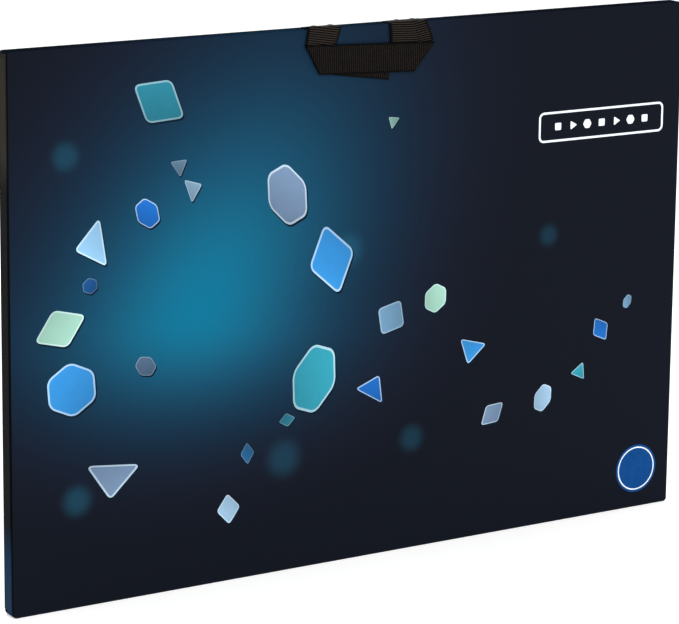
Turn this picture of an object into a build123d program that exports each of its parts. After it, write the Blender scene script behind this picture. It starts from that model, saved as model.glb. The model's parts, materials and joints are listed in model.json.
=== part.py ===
"""Flat case that stores a laid jigsaw puzzle, standing on a long edge.

X runs along the long side, Y from the printed front to the back, Z up. The origin lies under
the middle of the whole case, folded handle included. The front half carries the walls, the
work board and the handle; the back half is a lid on a cloth hinge at the left short side.
"""

import os

from build123d import *

# Case outline, mm
case_w = 800.0
case_h = 560.0
corner_r = 4.0

# Layers from the printed face to the back, mm
sheet_t = 0.4
front_board_t = 3.0
lining_t = 0.4
work_board_t = 2.0
felt_t = 1.0
puzzle_space = 6.4
pad_t = 3.0
lid_board_t = 3.0

# Walls and what lies between them, mm
wall_t = 12.0
closure_gap = 1.9
patch_t = 0.8
patch_l = 60.0
patch_w = 9.0
patch_pitch_side = 190.0
patch_pitch_long = 220.0
work_board_play = 2.0
finger_notch_r = 14.0
felt_inset = 10.0
pocket_leg = 60.0
pocket_t = 0.6
pad_inset = 4.0
mitre_gap = 0.2

# Cloth hinge, mm
hinge_side_w = 10.0
hinge_back_w = 24.0
hinge_end_margin = 2.0

# Handle of flat webbing, mm
strap_t = 1.5
strap_clear = 0.3
leg_w = 36.0
grip_opening = 62.0
leg_drop = 19.0
grip_h = 30.5
leg_flare = 8.0
mitre_run = 21.0
inner_ply_w = 83.0
inner_ply_h = 25.0
inner_ply_lean = 6.2
inner_ply_drop = 6.5
inner_ply_shift = 12.4
tab_rear_margin = 1.2
pivot_rise = 0.9

# Rivets that hold the webbing tabs, mm
rivet_r = 2.0
rivet_hole_play = 0.05
rivet_head_r = 4.5
rivet_head_h = 1.2
rivet_tail_r = 3.4
rivet_tail_h = 0.9
rivet_spacing = 19.0
back_plate_t = 1.0
back_plate_l = 32.0
back_plate_w = 9.6

# Depths along Y, worked out from the layers
case_t = (
    sheet_t + front_board_t + lining_t + work_board_t + felt_t
    + puzzle_space + pad_t + lining_t + lid_board_t + sheet_t
)
handle_t = 2 * strap_t + strap_clear
face_y = (handle_t - case_t) / 2
back_y = face_y + case_t
board_y = face_y + sheet_t
lining_y = board_y + front_board_t
work_board_y = lining_y + lining_t
felt_y = work_board_y + work_board_t
felt_top_y = felt_y + felt_t
lid_cover_y = back_y - sheet_t
lid_board_y = lid_cover_y - lid_board_t
lid_lining_y = lid_board_y - lining_t
rim_y = lid_lining_y - closure_gap
wall_rear_y = rim_y - sheet_t

# Places across the case, worked out from the outline
mid_z = case_h / 2
wall_w = case_w - 2 * sheet_t
wall_h = case_h - 2 * sheet_t
wall_r = corner_r - sheet_t
inner_w = wall_w - 2 * wall_t
inner_h = wall_h - 2 * wall_t
wall_mid = sheet_t + wall_t / 2
flap_w = wall_t + sheet_t
board_w = inner_w - 2 * work_board_play
board_h = inner_h - 2 * work_board_play
pad_w = inner_w - 2 * pad_inset
pad_h = inner_h - 2 * pad_inset
left_x = -case_w / 2
hinge_y = rim_y - hinge_side_w
tab_mid_x = (grip_opening + leg_w) / 2
grip_mid_z = case_h - leg_drop - grip_h / 2
pivot_z = case_h + pivot_rise
leg_top_z = 2 * pivot_z - (case_h + strap_t + strap_clear)
outer_ply_y = face_y - strap_clear - 2 * strap_t
inner_ply_y = face_y - strap_clear - strap_t
rivet_y = (lining_y + wall_rear_y) / 2
rivet_hole_r = rivet_r + rivet_hole_play
hinge_h = case_h - 2 * (corner_r + hinge_end_margin)


def facing(y):
    """Plane at depth y, seen from the front: sketch X runs along the case and sketch Y is up."""
    return Plane(origin=(0, y, mid_z), x_dir=(1, 0, 0), z_dir=(0, -1, 0))


def layer(width, height, radius, y, thickness):
    """Solid of a rounded oblong that fills the depth from y to y + thickness."""
    with BuildPart() as sheet:
        with BuildSketch(facing(y + thickness)):
            RectangleRounded(width, height, radius)
        extrude(amount=thickness)
    return sheet.part


def finish(builder, label):
    """Names the piece and writes it to the parts folder."""
    builder.part.label = label
    export_step(builder.part, f"parts/{label}.step")


os.makedirs("parts", exist_ok=True)

# Front half: the board that carries everything and its printed face
with BuildPart() as front_board:
    add(layer(wall_w, wall_h, wall_r, board_y, front_board_t))
finish(front_board, "front_board")

with BuildPart() as printed_face:
    add(layer(case_w, case_h, corner_r, face_y, sheet_t))
finish(printed_face, "printed_face")

# Walls: strips glued on edge round the front board, riveted through at the top
wall_rows = {
    "wall_top": (0, (wall_h - wall_t) / 2, wall_w, wall_t),
    "wall_bottom": (0, -(wall_h - wall_t) / 2, wall_w, wall_t),
    "wall_left": (-(wall_w - wall_t) / 2, 0, wall_t, inner_h),
    "wall_right": ((wall_w - wall_t) / 2, 0, wall_t, inner_h),
}
rivet_xs = [
    side * tab_mid_x + step * rivet_spacing / 2 for side in (-1, 1) for step in (-1, 1)
]
rivet_spots = [(x, rivet_y, case_h) for x in rivet_xs]

for wall_name, (x, z, w, h) in wall_rows.items():
    with BuildPart() as wall:
        with BuildSketch(facing(wall_rear_y)):
            RectangleRounded(wall_w, wall_h, wall_r)
            with Locations((x, z)):
                Rectangle(w, h, mode=Mode.INTERSECT)
        extrude(amount=wall_rear_y - lining_y)
        if wall_name == "wall_top":
            with Locations(*rivet_spots):
                Cylinder(rivet_hole_r, 3 * flap_w, mode=Mode.SUBTRACT)
    finish(wall, wall_name)

# Print flaps: the printed sheet turned over the walls and down onto their rear rim
with BuildPart() as print_flaps:
    with BuildSketch(facing(rim_y)):
        RectangleRounded(case_w, case_h, corner_r)
    extrude(amount=rim_y - board_y)
    with BuildSketch(facing(wall_rear_y)):
        RectangleRounded(wall_w, wall_h, wall_r)
    extrude(amount=wall_rear_y - board_y, mode=Mode.SUBTRACT)
    with BuildSketch(facing(rim_y)):
        Rectangle(inner_w, inner_h)
    extrude(amount=sheet_t, mode=Mode.SUBTRACT)
    # room for the cloth hinge on the left side, between the rounded corners
    with Locations((left_x, hinge_y, mid_z)):
        Box(
            2 * sheet_t,
            hinge_side_w,
            hinge_h,
            align=(Align.CENTER, Align.MIN, Align.CENTER),
            mode=Mode.SUBTRACT,
        )
    with Locations(*rivet_spots):
        Cylinder(rivet_hole_r, 4 * sheet_t, mode=Mode.SUBTRACT)
    # each corner is mitred, so the sheet turns over every wall as a flap of its own
    for sx in (-1, 1):
        for sz in (-1, 1):
            mitre_x = sx * (case_w - flap_w) / 2
            mitre_z = mid_z + sz * (case_h - flap_w) / 2
            with Locations(Location((mitre_x, 0, mitre_z), (0, -45 * sx * sz, 0))):
                Box(2 * flap_w, 2 * case_t, mitre_gap, mode=Mode.SUBTRACT)
finish(print_flaps, "print_flaps")

# Inside the front half
with BuildPart() as front_lining:
    with BuildSketch(facing(work_board_y)):
        Rectangle(inner_w, inner_h)
    extrude(amount=lining_t)
finish(front_lining, "front_lining")

with BuildPart() as work_board:
    with BuildSketch(facing(felt_y)):
        Rectangle(board_w, board_h)
        with Locations((-board_w / 2, 0), (board_w / 2, 0)):
            Circle(finger_notch_r, mode=Mode.SUBTRACT)
    extrude(amount=work_board_t)
finish(work_board, "work_board")

with BuildPart() as work_felt:
    with BuildSketch(facing(felt_top_y)):
        Rectangle(board_w - 2 * felt_inset, board_h - 2 * felt_inset)
        with Locations((-board_w / 2, 0), (board_w / 2, 0)):
            Circle(finger_notch_r + felt_inset / 2, mode=Mode.SUBTRACT)
    extrude(amount=felt_t)
finish(work_felt, "work_felt")

with BuildPart() as corner_pockets:
    for sx in (-1, 1):
        for sz in (-1, 1):
            corner = (sx * inner_w / 2, sz * inner_h / 2)
            along_x = (corner[0] - sx * pocket_leg, corner[1])
            along_z = (corner[0], corner[1] - sz * pocket_leg)
            with BuildSketch(facing(felt_top_y + pocket_t)):
                with BuildLine():
                    Polyline(corner, along_x, along_z, close=True)
                make_face()
            extrude(amount=pocket_t)
finish(corner_pockets, "corner_pockets")

# Closure: hook patches on the rim face loop patches on the lid's lining
side_patch_x = case_w / 2 - wall_mid
long_patch_z = case_h / 2 - wall_mid
side_patches = [(side_patch_x, n * patch_pitch_side) for n in (-1, 0, 1)]
long_patches = [
    (n * patch_pitch_long, sz * long_patch_z) for n in (-1, 0, 1) for sz in (-1, 1)
]


def closure_patches(rear_y):
    """All patches of one half of the closure, with their rear faces at rear_y."""
    with BuildPart() as patches:
        with BuildSketch(facing(rear_y)):
            with Locations(*side_patches):
                Rectangle(patch_w, patch_l)
            with Locations(*long_patches):
                Rectangle(patch_l, patch_w)
        extrude(amount=patch_t)
    return patches


hook_patches = closure_patches(rim_y + patch_t)
finish(hook_patches, "hook_patches")
loop_patches = closure_patches(lid_lining_y)
finish(loop_patches, "loop_patches")

# Cloth hinge: one half on the side of the case, the other round the lid's left edge
with BuildPart() as hinge_cloth_base:
    with Locations((left_x, hinge_y, mid_z)):
        Box(
            sheet_t,
            hinge_side_w,
            hinge_h,
            align=(Align.MIN, Align.MIN, Align.CENTER),
        )
finish(hinge_cloth_base, "hinge_cloth_base")

with BuildPart() as hinge_cloth_lid:
    with Locations((left_x, back_y, mid_z)):
        Box(
            hinge_back_w,
            sheet_t,
            hinge_h,
            align=(Align.MIN, Align.MAX, Align.CENTER),
        )
        Box(
            sheet_t,
            back_y - lid_lining_y,
            hinge_h,
            align=(Align.MIN, Align.MAX, Align.CENTER),
        )
finish(hinge_cloth_lid, "hinge_cloth_lid")

# Lid: board, outer cover, lining and the pad that keeps the puzzle still
with BuildPart() as lid_board:
    add(layer(wall_w, wall_h, wall_r, lid_board_y, lid_board_t))
finish(lid_board, "lid_board")

# the cover sheet lies on the back and is turned over the edges of the board
with BuildPart() as lid_cover:
    add(layer(case_w, case_h, corner_r, lid_board_y, lid_board_t + sheet_t))
    add(layer(wall_w, wall_h, wall_r, lid_board_y, lid_board_t), mode=Mode.SUBTRACT)
    with Locations((left_x, back_y, mid_z)):
        Box(
            hinge_back_w,
            sheet_t,
            hinge_h,
            align=(Align.MIN, Align.MAX, Align.CENTER),
            mode=Mode.SUBTRACT,
        )
        Box(
            sheet_t,
            lid_board_t + sheet_t,
            hinge_h,
            align=(Align.MIN, Align.MAX, Align.CENTER),
            mode=Mode.SUBTRACT,
        )
finish(lid_cover, "lid_cover")

with BuildPart() as lid_lining:
    with BuildSketch(facing(lid_board_y)):
        Rectangle(wall_w - 2 * sheet_t, wall_h - 2 * sheet_t)
    extrude(amount=lining_t)
finish(lid_lining, "lid_lining")

with BuildPart() as press_pad:
    with BuildSketch(facing(lid_lining_y)):
        RectangleRounded(pad_w, pad_h, pad_inset)
    extrude(amount=pad_t)
finish(press_pad, "press_pad")

# Handle tabs: the ends of the webbing, riveted flat on the top edge
tab_depth = rim_y - tab_rear_margin - face_y
for tab_name, side in (("handle_tab_left", -1), ("handle_tab_right", 1)):
    with BuildPart() as handle_tab:
        with Locations((side * tab_mid_x, face_y, case_h)):
            Box(leg_w, tab_depth, strap_t, align=(Align.CENTER, Align.MIN, Align.MIN))
        with Locations(*rivet_spots):
            Cylinder(rivet_hole_r, 4 * strap_t, mode=Mode.SUBTRACT)
    finish(handle_tab, tab_name)

plate_top_z = case_h - flap_w
with BuildPart() as rivet_back_plates:
    with Locations(*[(side * tab_mid_x, rivet_y, plate_top_z) for side in (-1, 1)]):
        Box(
            back_plate_l,
            back_plate_w,
            back_plate_t,
            align=(Align.CENTER, Align.CENTER, Align.MAX),
        )
    with Locations(*rivet_spots):
        Cylinder(rivet_hole_r, 3 * flap_w, mode=Mode.SUBTRACT)
finish(rivet_back_plates, "rivet_back_plates")

# Rivets: domed head on the webbing, shank through the wall, tail clinched on the plate
rivet_tail_z = plate_top_z - back_plate_t
shank_h = case_h + strap_t - rivet_tail_z
dome_r = (rivet_head_r**2 + rivet_head_h**2) / (2 * rivet_head_h)
with BuildPart() as rivet:
    with BuildSketch(Plane.XZ):
        with BuildLine():
            Polyline(
                (0, shank_h + rivet_head_h),
                (0, -rivet_tail_h),
                (rivet_tail_r, -rivet_tail_h),
                (rivet_tail_r, 0),
                (rivet_r, 0),
                (rivet_r, shank_h),
                (rivet_head_r, shank_h),
            )
            RadiusArc((rivet_head_r, shank_h), (0, shank_h + rivet_head_h), -dome_r)
        make_face()
    revolve(axis=Axis.Z)

with BuildPart() as rivets:
    with Locations(*[(x, rivet_y, rivet_tail_z) for x in rivet_xs]):
        add(rivet.part)
finish(rivets, "rivets")

# Handle: the outer ply runs down, along and up again with mitred corners; the inner ply backs it
half_opening = grip_opening / 2
leg_out = half_opening + leg_w
grip_top_z = case_h - leg_drop
grip_low_z = grip_top_z - grip_h
with BuildPart() as handle_strap:
    with BuildSketch(Plane(origin=(0, outer_ply_y + strap_t, 0), x_dir=(1, 0, 0), z_dir=(0, -1, 0))):
        with BuildLine():
            Polyline(
                (half_opening, leg_top_z),
                (leg_out, leg_top_z),
                (leg_out + leg_flare, grip_top_z),
                (leg_out + leg_flare - mitre_run, grip_low_z),
                (-leg_out - leg_flare + mitre_run, grip_low_z),
                (-leg_out - leg_flare, grip_top_z),
                (-leg_out, leg_top_z),
                (-half_opening, leg_top_z),
                (-half_opening, grip_top_z),
                (half_opening, grip_top_z),
                close=True,
            )
        make_face()
    extrude(amount=strap_t)
finish(handle_strap, "handle_strap")

with BuildPart() as handle_inner_ply:
    with BuildSketch(Plane(origin=(0, inner_ply_y + strap_t, 0), x_dir=(1, 0, 0), z_dir=(0, -1, 0))):
        inner_ply_mid = (-inner_ply_shift, grip_mid_z - inner_ply_drop, 0)
        with Locations(Location(inner_ply_mid, (0, 0, -inner_ply_lean))):
            Rectangle(inner_ply_w, inner_ply_h)
    extrude(amount=strap_t)
finish(handle_inner_ply, "handle_inner_ply")
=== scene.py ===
"""Looks of a flat case that stores a laid jigsaw puzzle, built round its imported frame.

The case stands on a long edge. Its printed sheet, lid cover, webbing handle, cloth hinge and
soft inner pieces are modelled here at the places that the frame gives. Lengths are in metres.
"""

import json
import logging
import math
import random
from collections.abc import Callable, Iterator, Sequence
from contextlib import contextmanager
from dataclasses import KW_ONLY, dataclass, field
from enum import Enum

import bmesh
import bpy
from bpy.types import Material, Mesh, Node, NodeInputs, NodeOutputs, NodeSocket, NodeTree, Object
from mathutils import Matrix, Vector


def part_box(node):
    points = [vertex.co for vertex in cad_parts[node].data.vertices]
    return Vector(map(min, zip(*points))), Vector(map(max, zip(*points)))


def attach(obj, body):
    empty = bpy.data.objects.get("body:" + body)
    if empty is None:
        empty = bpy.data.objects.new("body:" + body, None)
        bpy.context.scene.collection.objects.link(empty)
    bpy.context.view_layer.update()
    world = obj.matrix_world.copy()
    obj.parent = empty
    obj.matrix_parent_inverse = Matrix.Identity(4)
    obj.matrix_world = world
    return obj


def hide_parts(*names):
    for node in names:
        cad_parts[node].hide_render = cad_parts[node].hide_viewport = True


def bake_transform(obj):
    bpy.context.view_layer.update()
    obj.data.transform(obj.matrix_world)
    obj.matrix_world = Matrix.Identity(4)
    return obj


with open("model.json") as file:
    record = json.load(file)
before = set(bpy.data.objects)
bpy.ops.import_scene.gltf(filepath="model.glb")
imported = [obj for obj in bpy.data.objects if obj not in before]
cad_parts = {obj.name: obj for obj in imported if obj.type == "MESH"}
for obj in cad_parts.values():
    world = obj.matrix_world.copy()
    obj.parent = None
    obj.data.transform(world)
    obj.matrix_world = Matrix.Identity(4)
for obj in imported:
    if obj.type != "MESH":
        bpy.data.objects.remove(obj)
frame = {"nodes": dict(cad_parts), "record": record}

MM = 0.001
NEAR = 0.01 * MM
ON_FACE = (math.pi / 2, 0, 0)
LOG = logging.getLogger("puzzle_case")

# inks from the middle of the glow outwards, at equal steps
GLOW_INKS = (
    "#066583", "#0c607e", "#10536d", "#11425c", "#103449", "#0f273b",
    "#0f1e2e", "#101725", "#0f131f", "#0d111b", "#0c1019",
)
# inks of the left side, from its foot to its head: blue, black, olive black
SIDE_INKS = (
    (0.00, "#1b3149"), (0.10, "#0b2b47"), (0.17, "#0b0d11"),
    (0.76, "#0f1011"), (0.82, "#2b2a24"), (1.00, "#28261f"),
)

Colour = tuple[float, float, float, float]
Point = tuple[float, float, float]
Look = tuple[NodeSocket, NodeSocket]


# ---------------------------------------------------------------- plan of the case


@dataclass(frozen=True)
class CasePlan:
    """Planes of the case, as the frame gives them."""

    left: float
    right: float
    foot: float
    head: float
    front: float
    rim: float
    lid_in: float
    back: float
    wall: float
    corner: float = 4.0 * MM
    crease: float = 0.9 * MM
    sheet: float = 0.4 * MM

    @classmethod
    def read(cls) -> "CasePlan":
        """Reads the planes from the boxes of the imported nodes.

        Returns:
            The plan of this case.
        """
        face_low, face_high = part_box("printed_face")
        cover_low, cover_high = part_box("lid_cover")
        return cls(
            left=face_low[0],
            right=face_high[0],
            foot=face_low[2],
            head=face_high[2],
            front=face_low[1],
            rim=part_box("print_flaps")[1][1],
            lid_in=cover_low[1],
            back=cover_high[1],
            wall=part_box("front_lining")[0][0] - face_low[0],
        )


# ---------------------------------------------------------------- mesh helpers


def activate(piece: Object) -> None:
    """Makes one object the only selected and the active one."""
    bpy.ops.object.select_all(action="DESELECT")
    piece.select_set(True)
    bpy.context.view_layer.objects.active = piece


def settle(piece: Object) -> None:
    """Moves the object's place, turn and scale into its mesh."""
    activate(piece)
    bpy.ops.object.transform_apply(location=True, rotation=True, scale=True)


def named(name: str) -> Object:
    """Names the newly added primitive.

    Args:
        name: Name of the piece.

    Returns:
        The new object.
    """
    piece = bpy.context.active_object
    piece.name = piece.data.name = name
    return piece


def slab(name: str, low: Point, high: Point) -> Object:
    """Adds a block between two corners.

    Args:
        name: Name of the piece.
        low: Lowest corner.
        high: Highest corner.

    Returns:
        The block, with its place in its mesh.
    """
    middle = [(a + b) / 2 for a, b in zip(low, high)]
    bpy.ops.mesh.primitive_cube_add(size=1, location=middle)
    piece = named(name)
    piece.scale = [b - a for a, b in zip(low, high)]
    settle(piece)
    return piece


def disc(name: str, corners: int, radius: float = 1, middle: Point = (0, 0, 0)) -> Object:
    """Adds a flat regular outline in the plane of the face.

    Args:
        name: Name of the piece.
        corners: Number of its corners.
        radius: Distance of the corners from its middle.
        middle: Its middle.

    Returns:
        The outline as one face, with its place in its mesh.
    """
    bpy.ops.mesh.primitive_circle_add(
        vertices=corners, radius=radius, fill_type="NGON", location=middle, rotation=ON_FACE
    )
    piece = named(name)
    settle(piece)
    return piece


@contextmanager
def editing(piece: Object, mode: str = "FACE", pick: str = "DESELECT") -> Iterator[None]:
    """Opens a piece in edit mode.

    Args:
        piece: The piece to edit.
        mode: What is selected, VERT, EDGE or FACE.
        pick: SELECT to start with everything selected, DESELECT with nothing.
    """
    activate(piece)
    bpy.ops.object.mode_set(mode="EDIT")
    bpy.ops.mesh.select_mode(type=mode)
    bpy.ops.mesh.select_all(action=pick)
    yield
    bpy.ops.object.mode_set(mode="OBJECT")


def pick_faces(piece: Object, depth: float) -> None:
    """Selects the faces of the edited piece at a depth of the case."""
    mesh = bmesh.from_edit_mesh(piece.data)
    for face in mesh.faces:
        face.select_set(abs(face.calc_center_median().y - depth) < NEAR)
    bmesh.update_edit_mesh(piece.data)


def pick_edges(piece: Object, test: Callable[[Vector, Vector], bool]) -> None:
    """Selects the edges of the edited piece whose two ends pass a test."""
    mesh = bmesh.from_edit_mesh(piece.data)
    for edge in mesh.edges:
        edge.select_set(test(edge.verts[0].co, edge.verts[1].co))
    bmesh.update_edit_mesh(piece.data)


def face_outwards(piece: Object) -> None:
    """Turns every face of a piece outwards."""
    with editing(piece, pick="SELECT"):
        bpy.ops.mesh.normals_make_consistent(inside=False)


def modify(piece: Object, kind: str, **settings: object) -> None:
    """Adds a modifier to a piece and applies it.

    Args:
        piece: The piece to change.
        kind: The modifier's type.
        **settings: The modifier's settings.
    """
    activate(piece)
    modifier = piece.modifiers.new(kind.title(), kind)
    for key, value in settings.items():
        setattr(modifier, key, value)
    bpy.ops.object.modifier_apply(modifier=modifier.name)


def round_edges(piece: Object, radius: float, steps: int, degrees: float) -> None:
    """Rounds a piece's edges that turn by more than an angle.

    Args:
        piece: The piece to change.
        radius: Radius of its edges.
        steps: Faces across each rounded edge.
        degrees: The angle.
    """
    limit = math.radians(degrees)
    modify(
        piece, "BEVEL", width=radius, segments=steps, limit_method="ANGLE", angle_limit=limit
    )


def smooth(piece: Object, degrees: float = 35) -> None:
    """Shades a piece smooth, except at edges sharper than an angle."""
    activate(piece)
    bpy.ops.object.shade_smooth_by_angle(angle=math.radians(degrees))


def flatten(piece: Object, degrees: float = 35) -> None:
    """Shades a piece smooth and keeps its broad flat faces flat up to their rounded edges."""
    smooth(piece, degrees)
    modify(piece, "WEIGHTED_NORMAL", keep_sharp=True)


def join(name: str, pieces: list[Object]) -> Object:
    """Joins several meshes into one piece.

    Args:
        name: Name of the joined piece.
        pieces: The meshes to join.

    Returns:
        The joined piece.
    """
    activate(pieces[0])
    for piece in pieces:
        piece.select_set(True)
    bpy.ops.object.join()
    return named(name)


def copied(piece: Object, name: str) -> Object:
    """Adds a copy of a piece with a mesh of its own.

    Args:
        piece: The piece to copy.
        name: Name of the copy.

    Returns:
        The copy.
    """
    copy = piece.copy()
    copy.data = piece.data.copy()
    copy.name = copy.data.name = name
    bpy.context.collection.objects.link(copy)
    return copy


def clone_node(node: str, name: str) -> Object:
    """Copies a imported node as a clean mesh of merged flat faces.

    Args:
        node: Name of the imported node.
        name: Name of the copy.

    Returns:
        The copy, which takes the node's place.
    """
    piece = copied(frame["nodes"][node], name)
    piece.data.materials.clear()
    for key in [key for key in piece.keys() if key.startswith("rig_")]:
        del piece[key]
    piece.parent = None
    with editing(piece, pick="SELECT"):
        bpy.ops.mesh.remove_doubles(threshold=0.005 * MM)
        bpy.ops.mesh.dissolve_limited(angle_limit=math.radians(1))
    return piece


def lay_map(
    mesh: Mesh, name: str = "cloth", spots: Sequence[tuple[float, float]] | None = None
) -> None:
    """Maps a mesh in metres.

    Args:
        mesh: The mesh.
        name: Name of the map.
        spots: Place of each of its points; their places along and up the case by default.
    """
    spots = spots or [(vertex.co.x, vertex.co.z) for vertex in mesh.vertices]
    layer = mesh.uv_layers.new(name=name)
    for loop in mesh.loops:
        layer.data[loop.index].uv = spots[loop.vertex_index]


def dress(piece: Object, *materials: Material) -> None:
    """Gives a piece its materials, the first one all over."""
    piece.data.materials.clear()
    for material in materials:
        piece.data.materials.append(material)


def place(piece: Object, body: str, slot: str, *nodes: str) -> None:
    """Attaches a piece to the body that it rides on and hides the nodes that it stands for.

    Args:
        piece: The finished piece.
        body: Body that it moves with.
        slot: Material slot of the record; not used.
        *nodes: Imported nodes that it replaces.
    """
    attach(piece, body)
    if nodes:
        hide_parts(*nodes)
    LOG.info("%s rides on %s", piece.name, body)


# ---------------------------------------------------------------- finishes


def linear(hex_code: str) -> Colour:
    """Turns an sRGB hex colour into linear values.

    Args:
        hex_code: Colour such as "#1a2b3c".

    Returns:
        Linear red, green and blue, and an alpha of 1.
    """
    shares = [int(hex_code[at : at + 2], 16) / 255 for at in (1, 3, 5)]
    values = [c / 12.92 if c <= 0.04045 else ((c + 0.055) / 1.055) ** 2.4 for c in shares]
    return (values[0], values[1], values[2], 1.0)


def add_node(
    tree: NodeTree,
    kind: str,
    settings: dict[str, object] | None = None,
    inputs: dict[str | int, object] | Sequence[object] = (),
    feeds: NodeSocket | None = None,
) -> Node:
    """Adds a shader node with its settings and links.

    Args:
        tree: Node tree of the material.
        kind: The node's type, without the words that all types start with.
        settings: Attributes of the node.
        inputs: What its sockets get, by name or in order: a value, an output to link, or a node
            whose first output is linked.
        feeds: Socket that takes the node's first output.

    Returns:
        The new node.
    """
    node = tree.nodes.new(f"ShaderNode{kind}")
    for key, value in (settings or {}).items():
        setattr(node, key, value)
    for key, value in inputs.items() if isinstance(inputs, dict) else enumerate(inputs):
        if isinstance(value, Node):
            value = value.outputs[0]
        if isinstance(value, NodeSocket):
            tree.links.new(value, node.inputs[key])
        else:
            node.inputs[key].default_value = value
    if feeds is not None:
        tree.links.new(node.outputs[0], feeds)
    return node


def set_stops(ramp: Node, stops: Sequence[tuple[float, str]]) -> NodeSocket:
    """Sets the colours of a ramp node.

    Args:
        ramp: A colour ramp node.
        stops: Places from 0 to 1, each with its sRGB hex colour.

    Returns:
        Output that holds the ramp's colour.
    """
    elements = ramp.color_ramp.elements
    while len(elements) < len(stops):
        elements.new(1.0)
    for element, (where, hex_code) in zip(elements, stops):
        element.position = where
        element.color = linear(hex_code)
    return ramp.outputs["Color"]


@dataclass(frozen=True)
class Finish:
    """A surface finish. Each kind of finish has nodes of its own.

    The relief is the height of its bumps, in metres, of which the relief's share is used.
    """

    name: str
    roughness: float
    specular: float = 0.3
    _: KW_ONLY
    relief: float = 0.03 * MM
    relief_share: float = 1.0

    def build(self) -> Material:
        """Builds the material.

        Returns:
            The finished material.
        """
        material = bpy.data.materials.new(self.name)
        material.use_nodes = True
        tree = material.node_tree
        shader = tree.nodes["Principled BSDF"].inputs
        shader["Roughness"].default_value = self.roughness
        shader["Specular IOR Level"].default_value = self.specular
        colour, height = self.surface(tree, shader)
        tree.links.new(colour, shader["Base Color"])
        add_node(
            tree,
            "Bump",
            inputs={"Height": height, "Distance": self.relief, "Strength": self.relief_share},
            feeds=shader["Normal"],
        )
        return material

    def surface(self, tree: NodeTree, shader: NodeInputs) -> Look:
        """Adds the nodes of this kind of finish.

        Args:
            tree: Node tree of the material.
            shader: Sockets of its shader.

        Returns:
            Outputs that hold the colour and the height of the relief, from 0 to 1.
        """
        raise NotImplementedError


def side_band(tree: NodeTree, axes: NodeOutputs, plan: CasePlan) -> NodeSocket:
    """Builds the colour of the artwork on the left side of the case.

    Args:
        tree: Node tree of the material.
        axes: Outputs that hold the place on the case.
        plan: Plan of the case.

    Returns:
        Output that holds the colour: the side's inks between black margins along its front and
        rear edges.
    """
    share = add_node(tree, "Math", {"operation": "DIVIDE"}, (axes["Z"], plan.head))
    inks = set_stops(add_node(tree, "ValToRGB", inputs=(share,)), SIDE_INKS)
    middle, half = (plan.front + plan.back) / 2, (plan.back - plan.front) / 2
    inside = add_node(tree, "Math", {"operation": "COMPARE"}, (axes["Y"], middle, half - 3 * MM))
    layers = {"Factor": inside, 6: linear("#08090b"), 7: inks}
    return add_node(tree, "Mix", {"data_type": "RGBA"}, layers).outputs[2]


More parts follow.
